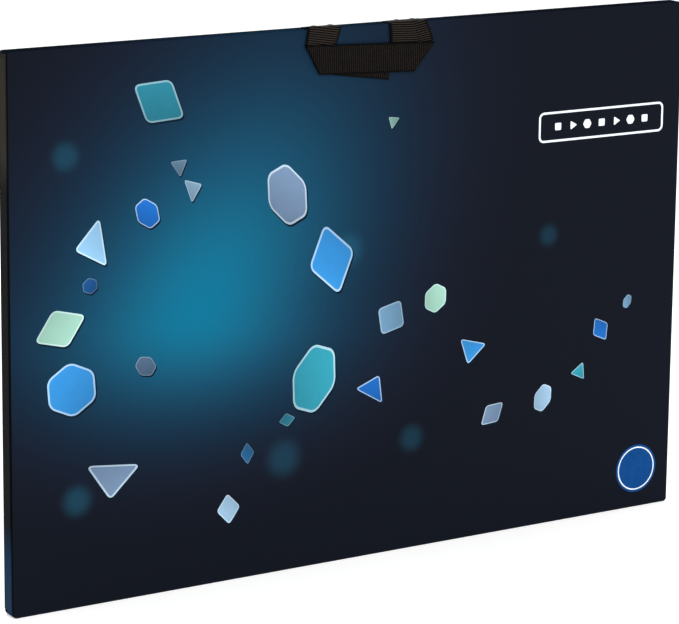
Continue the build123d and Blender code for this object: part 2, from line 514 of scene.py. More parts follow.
@dataclass(frozen=True)
class PrintedLaminate(Finish):
    """Offset-printed paper under a thin clear film.

    The ink is near-black navy with a teal glow. The film gives it a low, even gloss, and it was
    drawn tight over the board, which leaves faint upright streaks towards the right. The screen
    of the print is drawn coarser than the real 0.15 mm, so that it shows.
    """

    _: KW_ONLY
    plan: CasePlan
    glow_x: float = -196 * MM
    glow_z: float = 282 * MM
    reach_right: float = 380 * MM
    reach_left: float = 384 * MM
    reach_up: float = 506 * MM
    reach_down: float = 234 * MM
    lean: float = 0.36
    spots: tuple[tuple[float, float, float, float], ...] = ()
    spot_ink: str = "#2f86a8"
    screen: float = 1.6 * MM
    streak_width: float = 3 * MM
    streak_length: float = 90 * MM
    streaks_from: float = 60 * MM
    streaks_to: float = 330 * MM
    gloss_change: float = 0.08
    relief: float = 0.12 * MM
    relief_share: float = 0.6

    def glow(self, tree: NodeTree, x: NodeSocket, z: NodeSocket) -> NodeSocket:
        """Builds the colour of the glow from the distance to its middle.

        Args:
            tree: Node tree of the material.
            x: Place along the case.
            z: Height on the case.

        Returns:
            Output that holds the ink's colour.
        """
        made: dict[object, object] = {"x": x, "z": z}
        # above its middle the glow leans to the right
        for name, operation, *terms in (
            ("up", "SUBTRACT", "z", self.glow_z),
            ("raised", "MAXIMUM", "up", 0.0),
            ("shift", "MULTIPLY", "raised", self.lean),
            ("off", "SUBTRACT", "x", self.glow_x),
            ("along", "SUBTRACT", "off", "shift"),
            ("right", "DIVIDE", "along", self.reach_right),
            ("left", "DIVIDE", "along", -self.reach_left),
            ("above", "DIVIDE", "up", self.reach_up),
            ("below", "DIVIDE", "up", -self.reach_down),
            ("across", "MAXIMUM", "right", "left"),
            ("upright", "MAXIMUM", "above", "below"),
        ):
            values = [made.get(term, term) for term in terms]
            made[name] = add_node(tree, "Math", {"operation": operation}, values)
        spot = add_node(tree, "CombineXYZ", inputs=(made["across"], made["upright"]))
        distance = add_node(tree, "VectorMath", {"operation": "LENGTH"}, (spot,))
        ramp = add_node(tree, "ValToRGB", inputs=(distance.outputs["Value"],))
        ramp.color_ramp.interpolation = "B_SPLINE"
        steps = len(GLOW_INKS) - 1
        return set_stops(ramp, [(step / steps, ink) for step, ink in enumerate(GLOW_INKS)])

    def surface(self, tree: NodeTree, shader: NodeInputs) -> Look:
        """Adds the inks, the screen of the print and the streaks of the film; see Finish."""
        where = add_node(tree, "TexCoord").outputs["Object"]
        axes = add_node(tree, "SeparateXYZ", inputs=(where,)).outputs
        colour = self.glow(tree, axes["X"], axes["Z"])
        flat = add_node(tree, "CombineXYZ", inputs=(axes["X"], axes["Z"]))
        layers = []
        for x, z, radius, share in self.spots:
            away = add_node(tree, "VectorMath", {"operation": "DISTANCE"}, (flat, (x, z, 0)))
            fade = add_node(
                tree,
                "MapRange",
                {"interpolation_type": "SMOOTHERSTEP"},
                (away.outputs["Value"], radius * 0.1, radius, share, 0.0),
            )
            layers.append((fade, linear(self.spot_ink)))
        left = self.plan.left
        on_side = add_node(
            tree, "MapRange", inputs=(axes["X"], left + 0.7 * MM, left + 0.2 * MM)
        )
        layers.append((on_side, side_band(tree, axes, self.plan)))
        for share, ink in layers:
            mixed = {"Factor": share, 6: colour, 7: ink}
            colour = add_node(tree, "Mix", {"data_type": "RGBA"}, mixed).outputs[2]
        grain = add_node(
            tree, "TexNoise", inputs={"Vector": where, "Scale": 1 / self.screen, "Detail": 2.0}
        )
        tone = add_node(tree, "MapRange", inputs=(grain, 0, 1, 0.93, 1.07))
        ink = add_node(tree, "VectorMath", {"operation": "SCALE"}, {0: colour, "Scale": tone})
        width, length = 1 / self.streak_width, 1 / self.streak_length
        drawn = add_node(
            tree, "Mapping", inputs={"Vector": where, "Scale": (width, width, length)}
        )
        streak = add_node(tree, "TexNoise", inputs={"Vector": drawn, "Scale": 1, "Detail": 3.0})
        reach = (axes["X"], self.streaks_from, self.streaks_to, 0.12, 1.0)
        to_right = add_node(tree, "MapRange", inputs=reach)
        height = add_node(tree, "Math", {"operation": "MULTIPLY"}, (streak, to_right))
        low, high = self.roughness - self.gloss_change, self.roughness + self.gloss_change
        add_node(tree, "MapRange", inputs=(streak, 0, 1, low, high), feeds=shader["Roughness"])
        return ink.outputs[0], height.outputs[0]


@dataclass(frozen=True)
class TileInk(Finish):
    """Spot-varnished ink of the printed tiles.

    Each tile has its own ink from an attribute. The varnish is glossier than the film round it,
    and the picture shades each tile from a lit upper left to a deeper lower right.
    """

    cloud: float = 14 * MM

    def surface(self, tree: NodeTree, shader: NodeInputs) -> Look:
        """Adds each tile's ink and its shading; see Finish."""
        ink = add_node(tree, "Attribute", {"attribute_name": "ink"})
        local = add_node(tree, "UVMap", {"uv_map": "tile"})
        axes = add_node(tree, "SeparateXYZ", inputs=(local,)).outputs
        slope = add_node(tree, "Math", {"operation": "SUBTRACT"}, (axes["Y"], axes["X"]))
        where = add_node(tree, "TexCoord").outputs["Object"]
        cloud = add_node(
            tree, "TexNoise", inputs={"Vector": where, "Scale": 1 / self.cloud, "Detail": 3.0}
        )
        uneven = add_node(tree, "Math", {"operation": "ADD"}, (slope, cloud))
        light = add_node(tree, "MapRange", inputs=(uneven, -1.0, 2.2, 0.66, 1.1))
        colour = add_node(tree, "VectorMath", {"operation": "SCALE"}, {0: ink, "Scale": light})
        return colour.outputs[0], cloud.outputs[0]


@dataclass(frozen=True)
class PlainInk(Finish):
    """Opaque single-colour ink, a little uneven as screen printing leaves it."""

    light: str = "#e8edf2"
    dark: str = "#d5dde6"
    cloud: float = 6 * MM
    _: KW_ONLY
    relief: float = 0.02 * MM

    def surface(self, tree: NodeTree, shader: NodeInputs) -> Look:
        """Adds the two close tones of the ink; see Finish."""
        where = add_node(tree, "TexCoord").outputs["Object"]
        cloud = add_node(
            tree, "TexNoise", inputs={"Vector": where, "Scale": 1 / self.cloud, "Detail": 4.0}
        )
        ramp = add_node(tree, "ValToRGB", inputs=(cloud,))
        return set_stops(ramp, ((0.35, self.dark), (0.65, self.light))), cloud.outputs[0]


@dataclass(frozen=True)
class GrainedPaper(Finish):
    """Board or paper: short fibres of slightly different tone, with a faint tooth."""

    light: str = "#2a2b2e"
    dark: str = "#1c1d20"
    fibre: float = 1.2 * MM
    _: KW_ONLY
    relief: float = 0.05 * MM

    def surface(self, tree: NodeTree, shader: NodeInputs) -> Look:
        """Adds the fibres and wide clouds of tone; see Finish."""
        where = add_node(tree, "TexCoord").outputs["Object"]
        fibres, wide = (
            add_node(
                tree,
                "TexNoise",
                inputs={
                    "Vector": where,
                    "Scale": 1 / size,
                    "Detail": detail,
                    "Distortion": twist,
                },
            )
            for size, detail, twist in ((self.fibre, 4.0, 0.6), (40 * self.fibre, 2.0, 0.0))
        )
        both = add_node(tree, "Math", {"operation": "MULTIPLY_ADD"}, (fibres, 0.7, wide))
        ramp = add_node(tree, "ValToRGB", inputs=(both,))
        return set_stops(ramp, ((0.55, self.dark), (1.0, self.light))), fibres.outputs[0]


@dataclass(frozen=True)
class EmbossedPaper(Finish):
    """Black cover paper embossed with a fine leather-like grain of small cells.

    The hollows between the cells are painted darker than the cells' tops, as painted shade.
    """

    light: str = "#1d1e22"
    dark: str = "#0c0d10"
    cell: float = 2.2 * MM
    wear_and_weave_shade: float = 60 * MM
    _: KW_ONLY
    relief: float = 0.12 * MM
    relief_share: float = 0.7

    def surface(self, tree: NodeTree, shader: NodeInputs) -> Look:
        """Adds the cells, with painted shade between them, and their wear; see Finish."""
        where = add_node(tree, "TexCoord").outputs["Object"]
        cells = add_node(
            tree,
            "TexVoronoi",
            {"feature": "SMOOTH_F1"},
            {"Vector": where, "Scale": 1 / self.cell, "Smoothness": 0.6},
        )
        wear = add_node(
            tree, "TexNoise", inputs={"Vector": where, "Scale": 1 / self.wear_and_weave_shade, "Detail": 5.0}
        )
        # painted shade: darker towards the edges of each cell; the wear lightens it in wide clouds
        tone = add_node(tree, "Math", {"operation": "MULTIPLY_ADD"}, (wear, -0.25, cells))
        ramp = add_node(tree, "ValToRGB", inputs=(tone,))
        dull = (wear, 0, 1, self.roughness - 0.1, self.roughness + 0.1)
        add_node(tree, "MapRange", inputs=dull, feeds=shader["Roughness"])
        return set_stops(ramp, ((0.0, self.light), (0.45, self.dark))), cells.outputs[0]


@dataclass(frozen=True)
class WovenCloth(Finish):
    """Plain-woven cloth: warp and weft threads cross at right angles on the piece's own map.

    The map is in metres along and across the cloth. The thread is drawn at twice its real
    spacing, so that the weave shows. Its low places are painted darker, as painted shade, and its
    high crossings lighter, as painted highlight.
    """

    light: str = "#2a2a2c"
    dark: str = "#0d0d0e"
    thread: float = 0.9 * MM
    fuzz: float = 0.7 * MM
    _: KW_ONLY
    relief: float = 0.15 * MM
    side_of: CasePlan | None = None

    def surface(self, tree: NodeTree, shader: NodeInputs) -> Look:
        """Adds the crossing threads, their fuzz and their painted shade; see Finish."""
        where = add_node(tree, "UVMap", {"uv_map": "cloth"})
        axes = add_node(tree, "SeparateXYZ", inputs=(where,)).outputs
        waves = []
        for axis in ("X", "Y"):
            pitch = (axes[axis], math.pi / self.thread)
            turn = add_node(tree, "Math", {"operation": "MULTIPLY"}, pitch)
            waves.append(add_node(tree, "Math", {"operation": "SINE"}, (turn,)))
        crossing = add_node(tree, "Math", {"operation": "MULTIPLY"}, waves)
        fuzz = add_node(
            tree, "TexNoise", inputs={"Vector": where, "Scale": 1 / self.fuzz, "Detail": 3.0}
        )
        height = add_node(tree, "Math", {"operation": "ADD"}, (crossing, fuzz))
        # the weave's height sets its colour: painted shade where it lies low, painted highlight on
        # its high crossings
        level = add_node(tree, "MapRange", inputs=(height, -0.6, 1.6))
        ramp = add_node(tree, "ValToRGB", inputs=(level,))
        colour = set_stops(ramp, ((0.1, self.dark), (0.9, self.light)))
        if self.side_of:
            colour = self.with_artwork(tree, colour, level)
        return colour, level.outputs[0]

    def with_artwork(self, tree: NodeTree, colour: NodeSocket, level: Node) -> NodeSocket:
        """Prints the side's artwork on the cloth where it lies on the left side.

        Args:
            tree: Node tree of the material.
            colour: Colour of the bare cloth.
            level: Node that holds the height of the weave, from 0 to 1.

        Returns:
            Output that holds the colour of the cloth, printed on its side.
        """
        where = add_node(tree, "TexCoord").outputs["Object"]
        axes = add_node(tree, "SeparateXYZ", inputs=(where,)).outputs
        ink = side_band(tree, axes, self.side_of)
        # the side's print is painted darker low in the weave and lighter on its high crossings, as
        # painted shade and highlight
        wear_and_weave_shade = add_node(tree, "MapRange", inputs=(level, 0, 1, 0.55, 1.2))
        printed = add_node(tree, "VectorMath", {"operation": "SCALE"}, {0: ink, "Scale": wear_and_weave_shade})
        left = self.side_of.left
        on_side = add_node(
            tree, "MapRange", inputs=(axes["X"], left + 1.2 * MM, left + 0.6 * MM)
        )
        layers = {"Factor": on_side, 6: colour, 7: printed}
        return add_node(tree, "Mix", {"data_type": "RGBA"}, layers).outputs[2]


@dataclass(frozen=True)
class RibbedWebbing(Finish):
    """Black polypropylene webbing: glossy yarn in ribs across the strap.

    The ribs are modelled. The material paints their crests a lighter warm dark grey, as painted
    highlight, darkens the grooves, as painted shade, and shows the fine yarns that run along the
    strap.
    """

    crest: str = "#352e29"
    body: str = "#090807"
    groove: str = "#020202"
    yarn: float = 0.8 * MM
    fuzz: float = 1.4 * MM
    _: KW_ONLY
    relief: float = 0.12 * MM
    relief_share: float = 0.8

    def surface(self, tree: NodeTree, shader: NodeInputs) -> Look:
        """Adds the painted highlight and shade of the ribs and the tones of the yarns; see Finish.
        """
        where = add_node(tree, "UVMap", {"uv_map": "cloth"})
        rib = add_node(tree, "Attribute", {"attribute_name": "rib"}).outputs["Fac"]
        across = add_node(tree, "SeparateXYZ", inputs=(where,)).outputs["X"]
        pitch = (across, 2 * math.pi / self.yarn)
        turn = add_node(tree, "Math", {"operation": "MULTIPLY"}, pitch)
        yarns = add_node(tree, "Math", {"operation": "SINE"}, (turn,))
        fuzz = add_node(
            tree, "TexNoise", inputs={"Vector": where, "Scale": 1 / self.fuzz, "Detail": 4.0}
        )
        # the rib attribute paints the crests lighter, as painted highlight, and the grooves darker,
        # as painted shade
        mixed = add_node(tree, "Math", {"operation": "MULTIPLY_ADD"}, (fuzz, 0.7, rib))
        level = add_node(tree, "MapRange", inputs=(mixed, 0.45, 1.5))
        ramp = add_node(tree, "ValToRGB", inputs=(level,))
        strands = add_node(tree, "Math", {"operation": "MULTIPLY_ADD"}, (yarns, 0.4, fuzz))
        stops = ((0.0, self.groove), (0.45, self.body), (0.95, self.crest))
        return set_stops(ramp, stops), strands.outputs[0]


@dataclass(frozen=True)
class FibreFelt(Finish):
    """Needled felt: matted short fibres with a soft, cloudy nap that scatters light."""

    light: str = "#2c4257"
    dark: str = "#14202d"
    fibre: float = 1.8 * MM
    nap: float = 16 * MM
    _: KW_ONLY
    relief: float = 0.5 * MM
    relief_share: float = 0.8

    def surface(self, tree: NodeTree, shader: NodeInputs) -> Look:
        """Adds the fibres and the nap; see Finish."""
        where = add_node(tree, "TexCoord").outputs["Object"]
        shader["Sheen Weight"].default_value = 0.4
        matted = {"Vector": where, "Scale": 1 / self.fibre, "Detail": 6.0, "Distortion": 2.5}
        fibres = add_node(tree, "TexNoise", inputs=matted)
        nap = add_node(
            tree, "TexNoise", inputs={"Vector": where, "Scale": 1 / self.nap, "Detail": 5.0}
        )
        both = add_node(tree, "Math", {"operation": "MULTIPLY_ADD"}, (nap, 0.22, fibres))
        ramp = add_node(tree, "ValToRGB", inputs=(both,))
        return set_stops(ramp, ((0.35, self.dark), (0.85, self.light))), fibres.outputs[0]


@dataclass(frozen=True)
class CellFoam(Finish):
    """Closed-cell foam sheet: a matt skin pitted with small round cells."""

    light: str = "#3a3c40"
    dark: str = "#1b1c1f"
    cell: float = 1.6 * MM
    _: KW_ONLY
    relief: float = 0.25 * MM
    relief_share: float = 0.7

    def surface(self, tree: NodeTree, shader: NodeInputs) -> Look:
        """Adds the round cells, painted darker in their pits as painted shade; see Finish."""
        where = add_node(tree, "TexCoord").outputs["Object"]
        cells = add_node(tree, "TexVoronoi", inputs={"Vector": where, "Scale": 1 / self.cell})
        ramp = add_node(tree, "ValToRGB", inputs=(cells,))
        # painted shade: each cell is darker in its pit, at its middle
        return set_stops(ramp, ((0.1, self.dark), (0.6, self.light))), cells.outputs[0]


@dataclass(frozen=True)
class LacqueredSteel(Finish):
    """Steel under black stoving lacquer, or bare zinc-plated where metallic is 1."""

    light: str = "#26262a"
    dark: str = "#101012"
    metallic: float = 0.0
    skin: float = 1.5 * MM

    def surface(self, tree: NodeTree, shader: NodeInputs) -> Look:
        """Adds the fine orange peel of the lacquer; see Finish."""
        where = add_node(tree, "TexCoord").outputs["Object"]
        shader["Metallic"].default_value = self.metallic
        skin = add_node(
            tree, "TexNoise", inputs={"Vector": where, "Scale": 1 / self.skin, "Detail": 3.0}
        )
        ramp = add_node(tree, "ValToRGB", inputs=(skin,))
        return set_stops(ramp, ((0.3, self.dark), (0.7, self.light))), skin.outputs[0]


# ---------------------------------------------------------------- printed sheet and artwork


@dataclass
class CaseShell:
    """The printed sheet round the front half and the cover sheet round the lid.

    The fit is the share of a sheet's thickness that is modelled, so that it lies just clear.
    """

    plan: CasePlan
    corner_steps: int = 6
    crease_steps: int = 3
    fit: float = 0.9
    steepest_flat: float = 0.3

    def wrapped(self, name: str, low_y: float, high_y: float, shown_y: float) -> Object:
        """Models a sheet wrapped round a board, open on the side away from its face.

        Args:
            name: Name of the piece.
            low_y: Front of the sheet.
            high_y: Back of the sheet.
            shown_y: Which of the two is the closed face.

        Returns:
            The shell, one face thick, with both faces still there.
        """
        plan = self.plan
        piece = slab(name, (plan.left, low_y, plan.foot), (plan.right, high_y, plan.head))
        with editing(piece, "EDGE"):
            pick_edges(piece, lambda a, b: abs(a.y - b.y) > NEAR)
            bpy.ops.mesh.bevel(offset=plan.corner, segments=self.corner_steps, affect="EDGES")
            pick_edges(piece, lambda a, b: max(abs(a.y - shown_y), abs(b.y - shown_y)) < NEAR)
            bpy.ops.mesh.bevel(offset=plan.crease, segments=self.crease_steps, affect="EDGES")
        return piece

    def square_rim(self, piece: Object) -> None:
        """Draws the selected face's corners in to the walls' inner corners."""
        plan = self.plan
        mesh = bmesh.from_edit_mesh(piece.data)
        middle_x, middle_z = (plan.left + plan.right) / 2, (plan.foot + plan.head) / 2
        for vertex in mesh.verts:
            if vertex.select:
                to_left, to_foot = vertex.co.x < middle_x, vertex.co.z < middle_z
                vertex.co.x = plan.left + plan.wall if to_left else plan.right - plan.wall
                vertex.co.z = plan.foot + plan.wall if to_foot else plan.head - plan.wall
        bmesh.update_edit_mesh(piece.data)

    def thickened(self, piece: Object, flat: Material, turned: Material) -> None:
        """Gives an open shell its thickness and dresses it.

        Args:
            piece: The open shell.
            flat: Finish of its face.
            turned: Finish of its turned-over sides.
        """
        thickness = self.plan.sheet * self.fit
        modify(piece, "SOLIDIFY", thickness=thickness, offset=-1, use_even_offset=True)
        flatten(piece)
        dress(piece, flat, turned)
        for face in piece.data.polygons:
            face.material_index = 1 if abs(face.normal.y) < self.steepest_flat else 0

    def printed_wrap(self, ink: Material, side_ink: Material) -> None:
        """Models the printed sheet, turned over the walls and in over their rim."""
        plan = self.plan
        piece = self.wrapped("printed_wrap", plan.front, plan.rim, plan.front)
        with editing(piece):
            pick_faces(piece, plan.rim)
            bpy.ops.mesh.inset(thickness=plan.corner / 4)
            self.square_rim(piece)
            bpy.ops.mesh.delete(type="FACE")
            bpy.ops.mesh.select_all(action="SELECT")
            bpy.ops.mesh.remove_doubles(threshold=NEAR)
        self.thickened(piece, ink, side_ink)
        place(piece, "base", "print", "printed_face", "print_flaps")

    def lid_wrap(self, paper: Material, side_paper: Material) -> None:
        """Models the cover sheet of the lid, turned over the edges of its board."""
        plan = self.plan
        piece = self.wrapped("lid_wrap", plan.lid_in, plan.back, plan.back)
        with editing(piece):
            pick_faces(piece, plan.lid_in)
            bpy.ops.mesh.delete(type="FACE")
        self.thickened(piece, paper, side_paper)
        place(piece, "lid", "cover_paper", "lid_cover")


class TileShape(Enum):
    """Outlines of the printed tiles, as regular corners before they are stretched."""

    SQUARE = 4
    TRIANGLE = 3
    HEXAGON = 6


class TileInkColour(Enum):
    """Inks of the printed tiles."""

    BRIGHT_BLUE = "#2e83c4"
    SKY = "#86b4d6"
    TEAL = "#2c8fa3"
    SLATE = "#69809c"
    MINT = "#93bfae"
    ROYAL_BLUE = "#145fae"
    PALE = "#8fb0ca"


@dataclass(frozen=True)
class TileSpot:
    """Where a tile is printed, its half width, and how far its ink fades into the face."""

    x: float
    z: float
    size: float
    fade: float = 0.0


@dataclass
class Artwork:
    """Generic tiles printed on the face: scattered round the glow, and a wave that runs right."""

    plan: CasePlan
    seed: int = 23
    ring_count: int = 17
    ring_x: float = 158 * MM
    ring_z: float = 178 * MM
    wave_count: int = 9
    wave_end: float = 350 * MM
    wave_drop: float = 100 * MM
    wave_height: float = 62 * MM
    faint_count: int = 9
    spacing: float = 1.15
    edge_spacing: float = 1.3
    ink_height: float = 0.17 * MM
    shade_height: float = 0.1 * MM
    shade_shift: Point = (0.9 * MM, 0, -1.5 * MM)
    shade_spread: float = 1.03
    ink_depth: float = 0.05 * MM
    glow_x: float = -192 * MM
    glow_z: float = 290 * MM
    label_low: tuple[float, float] = (214 * MM, 420.5 * MM)
    label_high: tuple[float, float] = (377.5 * MM, 453 * MM)
    label_corner: float = 6.5 * MM
    label_line: float = 2.3 * MM
    glyph_count: int = 7
    glyph_pitch: float = 19 * MM
    glyph_half: float = 5.5 * MM
    badge_spot: tuple[float, float] = (356 * MM, 44 * MM)
    badge_radius: float = 27 * MM
    badge_border: float = 2.4 * MM
    badge_ring: float = 1.4 * MM
    tile_rounding: float = 0.22
    tile_borders: tuple[float, float] = (0.035, 0.03)
    ground_ink: str = "#12334a"
    border_ink: str = "#d6ecf6"
    border_share: float = 0.45
    ring_reaches: tuple[float, ...] = (0.68, 0.86, 0.98, 1.1, 1.22)
    ring_sizes: tuple[int, ...] = (13, 15, 18, 22, 25, 29, 33)
    patterns: dict[TileShape, Mesh] = field(default_factory=dict)

    def tile_mesh(self, shape: TileShape) -> Mesh:
        """Models one tile of unit size in the plane of the face, once for each shape.

        Args:
            shape: Outline of the tile.

        Returns:
            The tile's mesh, with a pale border face round its middle.
        """
        if shape in self.patterns:
            return self.patterns[shape]
        tile = disc(f"tile_{shape.name.lower()}", shape.value)
        with editing(tile, "VERT", "SELECT"):
            bpy.ops.mesh.bevel(offset=self.tile_rounding, segments=4, affect="VERTICES")
        face_outwards(tile)
        with editing(tile, pick="SELECT"):
            for border in self.tile_borders:
                bpy.ops.mesh.inset(thickness=border)
        rim = tile.data.attributes.new("border", "FLOAT", "FACE")
        for face in tile.data.polygons:
            rim.data[face.index].value = 1.0 if len(face.vertices) == 4 else 0.0
        mesh = self.patterns[shape] = tile.data
        bpy.data.objects.remove(tile)
        return mesh

    def stamp(
        self, name: str, shape: TileShape, spot: TileSpot, turn: float, stretch: float = 1.0
    ) -> Object:
        """Lays a copy of a tile's pattern on the face.

        Args:
            name: Name of the copy.
            shape: Outline of the tile.
            spot: Its place and half width.
            turn: Turn in the plane of the face, in radians.
            stretch: Its widening, by which its height shrinks.

        Returns:
            The flat tile.
        """
        mesh = self.tile_mesh(shape).copy()
        piece = bpy.data.objects.new(name, mesh)
        bpy.context.collection.objects.link(piece)
        mesh.transform(
            Matrix.Translation((spot.x, self.plan.front, spot.z))
            @ Matrix.Rotation(turn, 4, "Y")
            @ Matrix.Diagonal((spot.size * stretch, 1, spot.size / stretch, 1))
        )
        return piece

    def tile(self, number: int, spot: TileSpot, turn: float, stretch: float) -> Object:
        """Places one inked tile on the face.

        Args:
            number: Running number, which picks shape and ink.
            spot: Its place, half width and fade.
            turn: Turn in the plane of the face, in radians.
            stretch: Its widening, by which its height shrinks.

        Returns:
            The tile.
        """
        shapes, inks = list(TileShape), list(TileInkColour)
        shape = shapes[(number * 5) % len(shapes)]
        ink = inks[(number * 3) % len(inks)]
        piece = self.stamp(f"tile_{number}", shape, spot, turn, stretch)
        mesh = piece.data
        lay_map(mesh, "tile", [(v.co.x, v.co.z) for v in self.tile_mesh(shape).vertices])
        colour = mesh.attributes.new("ink", "FLOAT_COLOR", "CORNER")
        ground, pale = Vector(linear(self.ground_ink)), Vector(linear(self.border_ink))
        base = Vector(linear(ink.value)).lerp(ground, spot.fade)
        border = mesh.attributes["border"]
        for face in mesh.polygons:
            share = self.border_share * (1 - spot.fade) * border.data[face.index].value
            for loop in face.loop_indices:
                colour.data[loop].color = base.lerp(pale, share)
        return piece

    def spots(self) -> list[TileSpot]:
        """Lays out the tiles.

        Returns:
            The tiles that stay clear of one another.
        """
        chance = random.Random(self.seed)
        found = []
        for number in range(self.ring_count):
            angle = 2 * math.pi * number / self.ring_count + chance.uniform(-0.22, 0.22)
            reach = chance.choice(self.ring_reaches)
            x = self.glow_x + self.ring_x * reach * math.cos(angle)
            z = self.glow_z + self.ring_z * reach * math.sin(angle)
            size = chance.choice(self.ring_sizes) * MM
            found.append(TileSpot(x, z, size, chance.choice((0.0, 0.0, 0.0, 0.45))))
        for number in range(self.wave_count):
            share = number / (self.wave_count - 1)
            x = share * self.wave_end + chance.uniform(-14, 14) * MM
            wave = self.wave_height * math.sin(2.4 * math.pi * share)
            size = (19 - 11 * share + chance.uniform(-3, 4)) * MM
            fade = chance.choice((0.0, 0.0, 0.5))
            z = self.glow_z - self.wave_drop + wave + chance.uniform(-22, 22) * MM
            found.append(TileSpot(x, z, size, fade))
        for number in range(self.faint_count):
            x, z = chance.uniform(-360, 60) * MM, chance.uniform(60, 480) * MM
            found.append(TileSpot(x, z, chance.uniform(7, 12) * MM, chance.uniform(0.5, 0.75)))
        clear = []
        for spot in found:
            apart = all(
                math.hypot(spot.x - other.x, spot.z - other.z)
                > self.spacing * (spot.size + other.size)
                for other in clear
            )
            if apart and self.plan.left + self.edge_spacing * spot.size < spot.x:
                clear.append(spot)
        return clear

    def tiles(self, ink: Material, shade_ink: Material) -> None:
        """Prints all tiles as one raised layer of ink, over the shade that each one casts."""
        chance = random.Random(self.seed + 1)
        made, shades = [], []
        for number, spot in enumerate(self.spots()):
            turn = chance.uniform(0, 2 * math.pi)
            stretch = chance.uniform(1.0, 1.22)
            made.append(self.tile(number, spot, turn, stretch))
            shade = copied(made[-1], f"shade_{number}")
            centre = Vector((spot.x, self.plan.front, spot.z))
            shade.data.transform(
                Matrix.Translation(centre + Vector(self.shade_shift))
                @ Matrix.Scale(self.shade_spread, 4)
                @ Matrix.Translation(-centre)
            )
            shades.append(shade)
        for name, group, height, finish in (
            ("print_shades", shades, self.shade_height, shade_ink),
            ("print_tiles", made, self.ink_height, ink),
        ):
            piece = join(name, group)
            self.raise_ink(piece, height)
            dress(piece, finish)
            place(piece, "base", "print")

    def raise_ink(self, piece: Object, height: float) -> None:
        """Gives flat ink its height towards the viewer, from just inside the sheet."""
        with editing(piece, pick="SELECT"):
            bpy.ops.transform.translate(value=(0, self.ink_depth, 0))
            bpy.ops.mesh.extrude_region_move(TRANSFORM_OT_translate={"value": (0, -height, 0)})
        face_outwards(piece)

    def label(self, ink: Material) -> None:
        """Prints the empty rounded label outline and a row of small plain tiles in it."""
        (low_x, low_z), (high_x, high_z) = self.label_low, self.label_high
        middle_x, middle_z = (low_x + high_x) / 2, (low_z + high_z) / 2
        bpy.ops.mesh.primitive_plane_add(
            size=1, location=(middle_x, self.plan.front, middle_z), rotation=ON_FACE
        )
        outline = named("label_outline")
        outline.scale = (high_x - low_x, high_z - low_z, 1)
        settle(outline)
        with editing(outline, "VERT", "SELECT"):
            bpy.ops.mesh.bevel(offset=self.label_corner, segments=6, affect="VERTICES")
        with editing(outline, pick="SELECT"):
            bpy.ops.mesh.inset(thickness=self.label_line)
            bpy.ops.mesh.delete(type="FACE")
        made = [outline]
        shapes = list(TileShape)
        for number in range(self.glyph_count):
            x = middle_x + (number - (self.glyph_count - 1) / 2) * self.glyph_pitch
            turn = math.pi / 4 if number % 3 == 0 else math.pi / 2
            spot = TileSpot(x, middle_z, self.glyph_half)
            made.append(self.stamp(f"glyph_{number}", shapes[number % len(shapes)], spot, turn))
        piece = join("print_label", made)
        self.raise_ink(piece, self.ink_height)
        dress(piece, ink)
        place(piece, "base", "print")

    def badge(self, ink: Material, ring_ink: Material) -> None:
        """Prints a plain round blue spot with a pale ring near the lower right corner."""
        x, z = self.badge_spot
        piece = disc("print_badge", 48, self.badge_radius, (x, self.plan.front, z))
        with editing(piece, pick="SELECT"):
            for border in (self.badge_border, self.badge_ring):
                bpy.ops.mesh.inset(thickness=border)
        dress(piece, ink, ring_ink)
        self.raise_ink(piece, self.ink_height)
        outside = self.badge_radius - self.badge_border
        for face in piece.data.polygons:
            away = math.hypot(face.center.x - x, face.center.z - z)
            on_ring = outside - self.badge_ring < away < outside and len(face.vertices) == 4
            face.material_index = 1 if on_ring else 0
        place(piece, "base", "print")


# ---------------------------------------------------------------- webbing handle


@dataclass
class Webbing:
    """A flat ribbed strap, woven flat and then laid along a route."""

    width: float
    length: float
    thickness: float = 1.15 * MM
    pitch: float = 2.25 * MM
    rib: float = 0.4 * MM
    rear_rib: float = 0.1 * MM
    selvedge: float = 1.2 * MM
    rib_sharpness: float = 2.4
    painted_light: float = 1.0
    across_steps: int = 16
    rib_steps: int = 6

    def lay(
        self,
        name: str,
        skew: Callable[[float], float],
        route: Callable[[float, float, float], Point],
    ) -> Object:
        """Weaves the strap and lays it.

        Args:
            name: Name of the piece.
            skew: Shift of the ribs along the strap at a place across it.
            route: Place of a point, from its place across, its place along and its height.

        Returns:
            The strap, with its map in metres and the height of its ribs, times its painted light.
        """
        ribs = math.ceil(self.length / self.pitch)
        bpy.ops.mesh.primitive_grid_add(
            x_subdivisions=self.across_steps, y_subdivisions=ribs * self.rib_steps, size=1
        )
        piece = named(name)
        modify(piece, "SOLIDIFY", thickness=self.thickness, offset=-1)
        mesh = piece.data
        flat = [((v.co.x + 0.5) * self.width, (v.co.y + 0.5) * self.length) for v in mesh.vertices]
        lay_map(mesh, spots=flat)
        height = mesh.attributes.new("rib", "FLOAT", "POINT")
        for vertex, (u, s) in zip(mesh.vertices, flat):
            crest = abs(math.sin(math.pi * (s + skew(u)) / self.pitch)) ** self.rib_sharpness
            crest *= min(1.0, min(u, self.width - u) / self.selvedge)
            # painted highlight on the crests; painted shade along the edges, where the ribs fade
            height.data[vertex.index].value = crest * self.painted_light
            behind = vertex.co.z < -self.thickness / 2
            lift = -self.thickness - self.rear_rib * crest if behind else self.rib * crest
            vertex.co = route(u, s, lift)
        face_outwards(piece)
        smooth(piece, 60)
        return piece


@dataclass(frozen=True)
class Leg:
    """How one leg of the handle hangs.

    Attributes:
        low_x: Left side of the leg at the top edge.
        width: Width of the strap.
        lean: Shift along the case at the leg's lower end.
        skew: Shift of the ribs at a place across the strap.
        bow: How far the leg stands off the face halfway down.
        pull: Shift along the case for each length that is tucked behind the grip.
        wing: How far its right edge swings out towards the grip.
        rise: How far its left edge stands up from the case's front edge.
    """

    low_x: float
    width: float
    lean: float
    skew: Callable[[float], float]
    bow: float
    pull: float
    wing: float
    rise: float = 0.0


